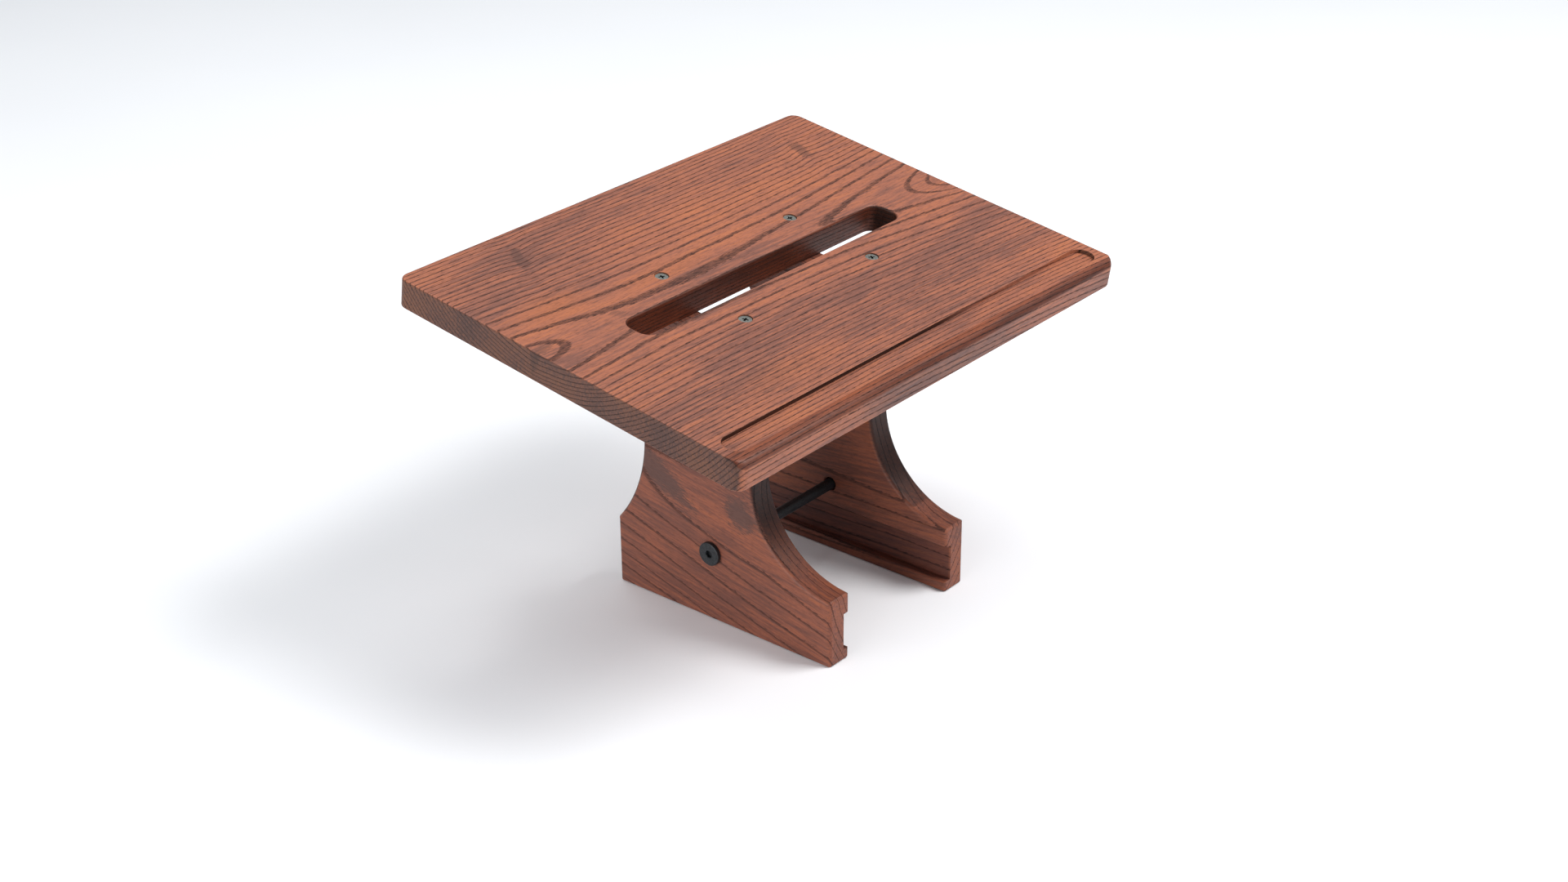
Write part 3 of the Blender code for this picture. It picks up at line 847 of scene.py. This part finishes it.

# %% [markdown]
# ## Worn edges and painted highlights
#
# Stain is wiped off an arris and steel is rubbed bright there, and the lighter edge is also a
# painted highlight for the light that an edge catches. A bevelled normal differs from the true one
# only near an edge, so the difference between the two is a mask of the edges. Noise breaks it up.


# %% The edge group
def edge_group():
    tree, given, result = new_group("rubbed_edge", {"Point": (0.0, 0.0, 0.0), "Width": 0.0015},
                                    ("Mask",))
    near = node(tree, "ShaderNodeBevel", {"Radius": given["Width"]}, samples=4).outputs[0]
    true = node(tree, "ShaderNodeNewGeometry", {}).outputs["Normal"]
    match = calc_vector(tree, "DOT_PRODUCT", near, true)
    edge = rising(tree, calc(tree, "SUBTRACT", 1.0, match), 0.01, 0.12)
    patchy = rising(tree, noise(tree, given["Point"], 90.0, 3.0), 0.35, 0.65)
    broken = calc(tree, "MULTIPLY_ADD", patchy, 0.7, 0.3)
    wire(tree, calc(tree, "MULTIPLY", edge, broken), result["Mask"])
    return tree


rubbed_edge = edge_group()
print("rubbed_edge:", len(rubbed_edge.nodes), "nodes")

# %% [markdown]
# ## Smoky patches
#
# Here and there the figure is smudged by a darker patch, where the wood curls round an old
# branch. A patch is a soft ellipse with a ragged rim, measured on the face of the plank. It
# also tells how strongly it pushes the rings aside.


# %% The patch group
def patch_group():
    tree, given, result = new_group(
        "smoky_patch", {"Point": (0.0, 0.0, 0.0), "Middle": (0.0, 0.0, 0.0),
                        "Reach": (0.01, 0.01, 0.01), "Slant": 0.0}, ("Mask", "Push"))
    away = calc_vector(tree, "SUBTRACT", given["Point"], given["Middle"])
    slanted = node(tree, "ShaderNodeVectorRotate", {"Vector": away, "Angle": given["Slant"]},
                   rotation_type="Z_AXIS").outputs[0]
    far = calc_vector(tree, "LENGTH", calc_vector(tree, "DIVIDE", slanted, given["Reach"]))
    ragged = noise(tree, stretch(tree, given["Point"], (60.0, 200.0, 60.0)), 1.0, 3.0)
    inside = calc(tree, "SUBTRACT", 1.35, calc(tree, "MULTIPLY_ADD", ragged, 0.7, far))
    wire(tree, rising(tree, inside, 0.0, 1.0), result["Mask"])
    wire(tree, calc(tree, "SUBTRACT", 1.0, rising(tree, far, 0.0, 2.0)), result["Push"])
    return tree


smoky_patch = patch_group()
print("smoky_patch:", len(smoky_patch.nodes), "nodes")

# %% [markdown]
# ## Walls with painted shade
#
# The slot, the pen groove, the long front rounding, the rail channel and the sawn curves of the
# legs are painted darker: painted shade for the shade that falls in them, with some darker stain
# in the slot. The strip before the groove is darker too, and the front face is painted greyer, a
# painted sheen. A box says where to look, and the direction of the surface says how much of a wall
# it is.


# %% The wall tone and shade group
def wall_group():
    tree, given, result = new_group(
        "routed_wall", {"Point": (0.0, 0.0, 0.0), "Middle": (0.0, 0.0, 0.0),
                        "Half": (0.01, 0.01, 0.01)}, ("Inside",))
    away = calc_vector(tree, "ABSOLUTE", calc_vector(tree, "SUBTRACT", given["Point"],
                                                     given["Middle"]))
    past = calc_vector(tree, "SUBTRACT", away, given["Half"])
    axes = node(tree, "ShaderNodeSeparateXYZ", {0: past}).outputs
    worst = calc(tree, "MAXIMUM", axes[0], calc(tree, "MAXIMUM", axes[1], axes[2]))
    outside = rising(tree, worst, -0.0005, 0.0005)
    wire(tree, calc(tree, "SUBTRACT", 1.0, outside), result["Inside"])
    return tree


routed_wall = wall_group()
print("routed_wall:", len(routed_wall.nodes), "nodes")

# %% [markdown]
# ## Stained ash
#
# Each plank has its own place in its own log. A Mapping node turns the piece's coordinates so
# that X follows the grain and the pith lies on the axis. The material then mixes pale
# latewood, warmer streaks and dark pores, darkens the board's end grain, which drinks the stain,
# paints the legs' end grain lighter as painted light, paints shade into walls and a highlight onto
# edges, and lets the pores sink in as bump.

# %% Colours of the stain, with painted shade and light
LATEWOOD = (0.315, 0.112, 0.066)
WARM = (0.400, 0.134, 0.062)
DULL = (0.185, 0.076, 0.055)
PORE = (0.046, 0.017, 0.012)
SMOKE = (0.080, 0.040, 0.033)
GLOW = (0.380, 0.122, 0.050)
# What is left of the colour on:
BOARD_ENDS = (0.34, 0.40, 0.44)
# painted light: the legs' end grain is painted lighter, for the light falling on their front faces
LEG_ENDS_LIGHT = (1.06, 1.06, 1.08)
# painted shade: the slot's walls are darker stain and painted shade, the groove's walls are
# painted shade
SLOT_WALL_SHADE = (0.34, 0.22, 0.16)
GROOVE_WALL_SHADE = (0.12, 0.10, 0.09)
# painted shade: the front rounding below this strip is painted darker, where it turns from the
# light
FRONT_RIM = (0.70, 0.58, 0.50)        # the strip in front of the groove
ROUNDED_SHADE = (0.42, 0.34, 0.30)          # and the rounding below it
# painted sheen: the board's front face is painted greyer, for the sheen of the light on it
FRONT_FACE_SHEEN = (0.66, 0.76, 0.88)
# painted shade: the rail channel, and the legs' sawn curves in the board's shadow, are painted
# darker
CHANNEL_SHADE = (0.62, 0.62, 0.72)
WAIST_SHADOW = (0.17, 0.16, 0.17)            # the legs' sawn curves
LEG_TINT = (0.66, 0.60, 0.59)         # the legs took the stain more darkly
NO_TINT = (1.0, 1.0, 1.0)
EDGE_WEAR_AND_HIGHLIGHT_BAND = 0.0018
PORE_DEPTH = 0.0004
print("pores keep %.0f %% of the latewood's red" % (100 * PORE[0] / LATEWOOD[0]))


# %% Build a stained plank's material
def log_matrix(pith, along, out):
    """Turns object space so that X follows the grain, Z points out and the pith is the axis."""
    x = Vector(along).normalized()
    z = (Vector(out) - x * Vector(out).dot(x)).normalized()
    y = z.cross(x)
    turn = Matrix((x, y, z)).to_4x4()
    return turn @ Matrix.Translation(-Vector(pith))


def facing(tree, direction):
    """How squarely the surface faces a direction, or its opposite."""
    normal = node(tree, "ShaderNodeNewGeometry", {}).outputs["Normal"]
    return calc(tree, "ABSOLUTE", calc_vector(tree, "DOT_PRODUCT", normal, direction))


def stained_ash(name, log, rings, tint, ends, edges, patches, walls, walls_follow_log=True):
    """A plank's finish; log turns its own space into the log's, rings are ash_grain's inputs.

    tint, and ends for the end grain, say what is left of the colour; edges is the colour of the
    rubbed edges, on the board also a painted highlight. Each patch is (middle, reach, slant,
    stain, strength, push). Each wall is (middle, half size, "out" or "along" for the direction
    that tells a wall from a face, the ramp that reads it, what is left of the colour, mostly
    painted shade).
    Patches are placed in the log's space, and so are walls unless walls_follow_log is off.
    """
    made, tree, shader = new_material(name)
    place = object_point(tree)
    point = node(tree, "ShaderNodeMapping", {"Vector": place, "Location": log.translation,
                                             "Rotation": log.to_euler("XYZ")}).outputs[0]
    curl = 0.0
    smudges = []
    for middle, reach, slant, stain, strength, push in patches:
        patch = use_group(tree, smoky_patch, {"Point": point, "Middle": middle, "Reach": reach,
                                              "Slant": slant})
        curl = calc(tree, "MULTIPLY_ADD", patch["Push"], push, curl)
        smudges.append((patch["Mask"], strength, stain))
    grain = use_group(tree, ash_grain, {"Point": point, "Curl": curl, **rings})

    # the wood between the lines, with its patches
    streaks = calc(tree, "MULTIPLY_ADD", grain["Dashes"], 1.6, -0.8)
    body = ramp(tree, grain["Tone"], ((0.44, DULL), (0.56, LATEWOOD), (0.70, WARM)))
    body = blend(tree, 1.0, body, tint, "MULTIPLY")
    for mask, strength, stain in smudges:
        if stain == SMOKE:
            mask = rising(tree, calc(tree, "ADD", mask, streaks), 0.22, 0.72)
        body = blend(tree, calc(tree, "MULTIPLY", mask, strength), body, stain)

    # dark lines of pores, and single pores as flecks
    dark = calc(tree, "MULTIPLY_ADD", grain["Pores"], 0.26, 0.70)
    lines = calc(tree, "MULTIPLY", grain["Earlywood"], dark)
    flecks = calc(tree, "MULTIPLY", grain["Pores"], 0.28)
    colour = blend(tree, calc(tree, "MAXIMUM", lines, flecks), body, PORE)

    # end grain, lighter on the legs as painted light; edges, worn and a painted highlight; walls,
    # mostly painted shade
    turn_back = log.inverted().to_3x3()
    along = facing(tree, turn_back @ Vector((1, 0, 0)))
    out = facing(tree, turn_back @ Vector((0, 0, 1)))
    colour = blend(tree, rising(tree, along, 0.35, 0.95), colour, ends, "MULTIPLY")
    # the edges: worn stain, and on the board a painted highlight
    wear_and_highlight = use_group(tree, rubbed_edge, {"Point": place, "Width": EDGE_WEAR_AND_HIGHLIGHT_BAND})["Mask"]
    colour = blend(tree, calc(tree, "MULTIPLY", wear_and_highlight, 0.30), colour, edges)
    # the walls: painted shade in the slot, groove, rounding, channel and sawn curves, painted
    # sheen on the front face
    for middle, half, direction, stops, wall in walls:
        at = point if walls_follow_log else place
        box = {"Point": at, "Middle": middle, "Half": half}
        steep = ramp(tree, along if direction == "along" else out, stops)
        here = calc(tree, "MULTIPLY", use_group(tree, routed_wall, box)["Inside"], steep)
        colour = blend(tree, here, colour, wall, "MULTIPLY")
    wire(tree, colour, shader["Base Color"])

    rough = calc(tree, "MULTIPLY_ADD", lines, 0.3, 0.42)
    wire(tree, calc(tree, "MULTIPLY_ADD", grain["Tone"], 0.08, rough), shader["Roughness"])
    bump = node(tree, "ShaderNodeBump", {"Height": grain["Height"], "Strength": 0.35,
                                         "Distance": PORE_DEPTH})
    wire(tree, bump.outputs[0], shader["Normal"])
    shader["Specular IOR Level"].default_value = 0.24
    return made


# %% Stain the board
PITH_UP = 0.161               # where the pith of the board's log passes, up the slope
PITH_OUT = 0.1077             # and above the board's top
STEEP_WALL = ((0.0, 1.0), (0.35, 0.9), (0.85, 0.0))
STEEP_ROUND = ((0.05, 0.0), (0.25, 1.0), (0.80, 0.9), (0.99, 0.2))
UPRIGHT = ((0.05, 1.0), (0.25, 0.0))
ALL_WAYS = ((0.0, 1.0), (1.0, 1.0))
up_slope = Vector((0, cos(TILT), sin(TILT)))
out_of_top = Vector((0, -sin(TILT), cos(TILT)))
board_pith = FRONT_EDGE + up_slope * PITH_UP + out_of_top * (BOARD_THICK + PITH_OUT)
board_log = log_matrix(board_pith, Vector((1, 0, 0)) - 0.02 * up_slope, out_of_top)


def on_top(x, up):
    """A place on the board's top, seen from the pith."""
    return (x, up - PITH_UP, -PITH_OUT)


board_patches = (
    (on_top(-0.124, 0.255), (0.030, 0.009, 0.02), radians(-62), SMOKE, 0.55, 0.0016),
    (on_top(0.153, 0.250), (0.026, 0.009, 0.02), radians(-75), SMOKE, 0.55, -0.0012),
    (on_top(0.225, 0.155), (0.034, 0.013, 0.03), 0.0, SMOKE, 0.45, -0.0060),
    (on_top(-0.195, 0.163), (0.018, 0.008, 0.03), 0.0, SMOKE, 0.50, -0.0008),
    (on_top(-0.125, 0.165), (0.010, 0.006, 0.02), 0.3, SMOKE, 0.35, 0.0),
    (on_top(-0.150, 0.195), (0.050, 0.024, 0.03), 0.0, GLOW, 0.60, 0.0),
    (on_top(-0.060, 0.185), (0.060, 0.014, 0.03), 0.0, GLOW, 0.50, 0.0),
    (on_top(-0.090, 0.050), (0.070, 0.020, 0.03), 0.0, GLOW, 0.35, 0.0))
slot_middle = (SLOT_NEAR + SLOT_FAR) / 2
slot_half = (SLOT_FAR - SLOT_NEAR) / 2
tray_middle = (TRAY_NEAR + TRAY_FAR) / 2
tray_half = (TRAY_FAR - TRAY_NEAR) / 2
half_down = Vector((0, 0, BOARD_THICK / 2))
# painted shade in the slot, the groove and the front rounding, painted sheen on the front face
board_walls = (
    (Vector(on_top(0, slot_middle)) - half_down,
     (SLOT_HALF + 0.003, slot_half + 0.003, BOARD_THICK), "out", STEEP_WALL, SLOT_WALL_SHADE),
    (on_top(0, tray_middle), (TRAY_HALF + 0.001, tray_half + 0.001, 0.01), "out",
     STEEP_WALL, GROOVE_WALL_SHADE),
    (on_top(0, TRAY_NEAR / 2), (BOARD_WIDTH / 2 - 0.003, TRAY_NEAR / 2 - 0.0002, 0.005), "out",
     ALL_WAYS, FRONT_RIM),
    (on_top(0, 0), (BOARD_WIDTH, 0.0085, 0.01), "out", STEEP_ROUND, ROUNDED_SHADE),
    (on_top(0, 0), (BOARD_WIDTH / 2 - 0.004, 0.0015, 0.03), "out", UPRIGHT, FRONT_FACE_SHEEN))
board_years = {"Ring width": 0.0029, "Bow": 0.085, "Taper": -0.009, "Sway": 0.0035,
               "Band": 0.56, "Fray": 0.0003, "Seed": 0.0}
# the board's edges are painted warm: worn stain and a painted highlight
board_ash = stained_ash("board_ash", board_log, board_years, NO_TINT, BOARD_ENDS, WARM,
                        board_patches, board_walls)
print("board stained:", len(board_ash.node_tree.nodes), "nodes")

# %% Stain the legs
LEG_PITH_IN = 0.118           # from the outer face
LEG_PITH_UP = 0.092
LEG_SLOPES = {"left": radians(-10), "right": radians(5)}
SAWN_CURVE = ((0.25, 0.0), (0.80, 1.0))
WAIST_MIDDLE = 0.157          # above the floor
WAIST_HALF = 0.100
leg_patches = {
    "left": (((-0.054, -0.004, LEG_PITH_IN), (0.060, 0.020, 0.03), radians(24), SMOKE, 0.90,
              -0.002),
             ((0.018, 0.000, LEG_PITH_IN), (0.024, 0.022, 0.03), 0.0, SMOKE, 0.90, -0.002)),
    "right": (((-0.030, -0.010, LEG_PITH_IN), (0.030, 0.014, 0.03), 0.0, SMOKE, 0.6,
               -0.002),)}
leg_middle = LEG_FRONT + FOOT_LONG / 2
channel_half = (RAIL_HIGH - RAIL_LOW) / 2
leg_ash = {}
for side_name, side in SIDES:
    slope = LEG_SLOPES[side_name]
    pith = Vector((side * (LEG_OUTER - LEG_PITH_IN), leg_middle, LEG_PITH_UP))
    log = log_matrix(pith, (0, -cos(slope), sin(slope)), (side, 0, 0))
    channel_x = side * (LEG_OUTER - LEG_THICK + RAIL_DEEP - 0.002)
    # painted shade in the rail channel and on the sawn curves
    leg_walls = (
        ((channel_x, leg_middle, RAIL_LOW + channel_half),
         (0.003, FOOT_LONG / 2 - 0.0015, channel_half + 0.001), "out", ALL_WAYS, CHANNEL_SHADE),
        ((side * LEG_OUTER, leg_middle, WAIST_MIDDLE), (LEG_THICK * 2, FOOT_LONG, WAIST_HALF),
         "along", SAWN_CURVE, WAIST_SHADOW))
    leg_years = {"Ring width": 0.0058, "Bow": 0.02, "Taper": -0.045, "Sway": 0.005,
                 "Band": 0.34, "Fray": 0.0012, "Seed": 1.7 + side}
    leg_ash[side_name] = stained_ash(side_name + "_leg_ash", log, leg_years, LEG_TINT, LEG_ENDS_LIGHT,
                                     SMOKE, leg_patches[side_name], leg_walls,
                                     walls_follow_log=False)
print("two legs stained")

# %% [markdown]
# ## Steel
#
# The bolts and the rod are blackened: nearly black, matte and slightly mottled. The screws are
# zinc plated: a grey with a hint of green, and their cross recesses hold painted shade, so
# anything well below the top of a head is painted nearly black. Both share one group for the
# mottling of the plating and its fine scratches, and both are painted brighter at the edges,
# rubbed there and a painted highlight.


# %% The plating group
def plating_group():
    tree, given, result = new_group("plating", {"Point": (0.0, 0.0, 0.0), "Grain size": 900.0},
                                    ("Mottle", "Scratches"))
    mottle = noise(tree, given["Point"], given["Grain size"], 4.0, 0.6)
    fine = noise(tree, stretch(tree, given["Point"], (4000.0, 500.0, 900.0)), 1.0, 1.0)
    wire(tree, mottle, result["Mottle"])
    wire(tree, rising(tree, fine, 0.55, 0.75), result["Scratches"])
    return tree


plating = plating_group()
print("plating:", len(plating.nodes), "nodes")


# %% Plate the steel
# painted shade: the screws' cross recesses, and all below the top of a head
RECESS_SHADE = (0.006, 0.006, 0.007)


def plated(name, dark, pale, bright, metallic, roughness, head=None):
    """A mottle of dark and pale, bright at the edges: rubbed there, and a painted highlight.

    head, if given, is a point on the screw heads' top and the way they face; below it the screws
    are painted nearly black, a painted shade in their recesses.
    """
    made, tree, shader = new_material(name)
    place = object_point(tree)
    coat = use_group(tree, plating, {"Point": place, "Grain size": 900.0})
    colour = blend(tree, rising(tree, coat["Mottle"], 0.35, 0.65), dark, pale)
    # the edges: rubbed steel and a painted highlight
    wear_and_highlight = use_group(tree, rubbed_edge, {"Point": place, "Width": 0.0006})["Mask"]
    colour = blend(tree, calc(tree, "MULTIPLY", wear_and_highlight, 0.5), colour, bright)
    if head:
        point, out = head
        height = calc_vector(tree, "DOT_PRODUCT", place, out)
        above = rising(tree, calc(tree, "SUBTRACT", height, point.dot(out)), -0.0004, -0.0001)
        # painted shade below the top of the heads
        colour = blend(tree, above, RECESS_SHADE, colour)
    wire(tree, colour, shader["Base Color"])
    scratched = calc(tree, "MULTIPLY_ADD", coat["Scratches"], 0.12, roughness)
    wire(tree, scratched, shader["Roughness"])
    bump = node(tree, "ShaderNodeBump", {"Height": coat["Mottle"], "Strength": 0.15,
                                         "Distance": 0.0001})
    wire(tree, bump.outputs[0], shader["Normal"])
    shader["Metallic"].default_value = metallic
    return made


head_top = FRONT_EDGE + out_of_top * (BOARD_THICK - SCREW_SINK)
# the last colour of each is painted on the edges: rubbed steel and a painted highlight
black_steel = plated("black_steel", (0.009, 0.010, 0.012), (0.022, 0.025, 0.028),
                     (0.07, 0.08, 0.09), 0.35, 0.42)
zinc_steel = plated("zinc_steel", (0.17, 0.18, 0.165), (0.30, 0.31, 0.285), (0.42, 0.44, 0.40),
                    0.7, 0.40, head=(head_top, out_of_top))
print("steel ready")

# %% [markdown]
# ## Every piece to its place in the frame
#
# Each piece rides on the one body of the frame, takes its finish and hides the CAD nodes that it
# stands for.


# %% Dress the pieces
def dress(piece, finish, slot, *nodes):
    piece.data.materials.clear()
    piece.data.materials.append(finish)
    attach(piece, "root")
    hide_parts(*nodes)


dress(board, board_ash, "brown_ash", "top_board")
for side_name, side in SIDES:
    dress(legs[side_name], leg_ash[side_name], "brown_ash", side_name + "_leg")
    dress(bolts[side_name], black_steel, "black_steel", "tie_bolt_" + side_name)
dress(rod, black_steel, "black_steel", "tie_rod")
dress(screws, zinc_steel, "zinc_steel", "board_screw_front_left", "board_screw_back_left",
      "board_screw_front_right", "board_screw_back_right")

# %% [markdown]
# ## Floor and light
#
# The stand is shown on a pale floor under soft studio light. The strongest lamp hangs high in
# front, so the top is bright and its shadow falls short. A long box on the left lights the
# sides, a lamp overhead and a faint one low in front fill in, and the surround is a pale
# blue. Area lights are used because their size is what makes a shadow soft.


# %% Lay the floor
FLOOR_HALF = 8
FLOOR_DROP = 0.0002           # so that it shares no plane with the feet


def lay_floor():
    cage = bmesh.new()
    bmesh.ops.create_grid(cage, x_segments=1, y_segments=1, size=FLOOR_HALF)
    bmesh.ops.translate(cage, vec=(0, 0, -FLOOR_DROP), verts=cage.verts)
    floor = from_cage("floor", cage)
    made, tree, shader = new_material("pale_floor")
    cloud = noise(tree, object_point(tree), 3.0)
    colour = ramp(tree, cloud, ((0.3, (0.88, 0.90, 0.925)), (0.7, (0.90, 0.92, 0.945))))
    wire(tree, colour, shader["Base Color"])
    shader["Roughness"].default_value = 0.7
    floor.data.materials.append(made)
    floor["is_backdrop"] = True


lay_floor()
print("floor laid")


# %% Hang the lights
LIT_POINT = Vector((0, 0, 0.15))
LIGHTS = (  # name, place, width and height, power, colour
    ("overhead", (0.1, 0.8, 2.2), (1.6, 1.6), 20, (1.0, 0.985, 0.96)),
    ("left_box", (-2.3, 0.2, 0.55), (2.2, 0.9), 42, (1.0, 0.99, 0.98)),
    ("front_box", (0.9, -1.25, 2.1), (1.1, 1.1), 57, (1.0, 0.99, 0.98)),
    ("low_front", (0.2, -1.9, 0.35), (1.2, 0.5), 3, (1.0, 0.98, 0.97)))


def soft_light(name, place, size, power, colour):
    lamp = bpy.data.lights.new(name, "AREA")
    lamp.shape = "RECTANGLE"
    lamp.size, lamp.size_y = size
    lamp.energy = power
    lamp.color = colour
    made = bpy.data.objects.new(name, lamp)
    made.location = place
    made.rotation_euler = (LIT_POINT - Vector(place)).to_track_quat("-Z", "Y").to_euler()
    bpy.context.scene.collection.objects.link(made)


for light in LIGHTS:
    soft_light(*light)
world = bpy.data.worlds.new("surround")
world.use_nodes = True
surround = world.node_tree.nodes["Background"].inputs
surround["Color"].default_value = (0.90, 0.94, 1.0, 1)
surround["Strength"].default_value = 0.4
bpy.context.scene.world = world
bpy.context.scene.view_settings.view_transform = "Standard"
print(len(LIGHTS), "lights hung")

# %% [markdown]
# ## Camera
#
# The camera looks down on the low front corner of the board from the left, through a moderate
# telephoto lens, and is a hair off level.

# %% Place the camera
CAMERA_PLACE = (-1.167, -0.9746, 0.8702)
CAMERA_YAW = radians(49.71)           # clockwise from +Y, seen from above
CAMERA_PITCH = radians(26.82)         # below the horizon
CAMERA_ROLL = radians(-0.65)
SENSOR_WIDTH = 36                     # millimetres, like the focal length
FOCAL_LENGTH = 56.96
lens = bpy.data.cameras.new("camera")
lens.sensor_width = SENSOR_WIDTH
lens.lens = FOCAL_LENGTH
lens.shift_x = 0.0193
lens.shift_y = 0.0018
camera = bpy.data.objects.new("camera", lens)
aim = Matrix.Rotation(-CAMERA_YAW, 4, "Z") @ Matrix.Rotation(pi / 2 - CAMERA_PITCH, 4, "X")
camera.matrix_world = Matrix.Translation(CAMERA_PLACE) @ aim @ Matrix.Rotation(CAMERA_ROLL, 4, "Z")
bpy.context.scene.collection.objects.link(camera)
bpy.context.scene.camera = camera
print("camera %.2f m from the stand" % Vector(CAMERA_PLACE).length)

# %% Print the sizes of frame and look
look_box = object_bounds()
for label, corners in (("frame", cad_box), ("look", look_box)):
    print(label, [round(1000 * (high - low), 2) for low, high in zip(*corners)], "mm")
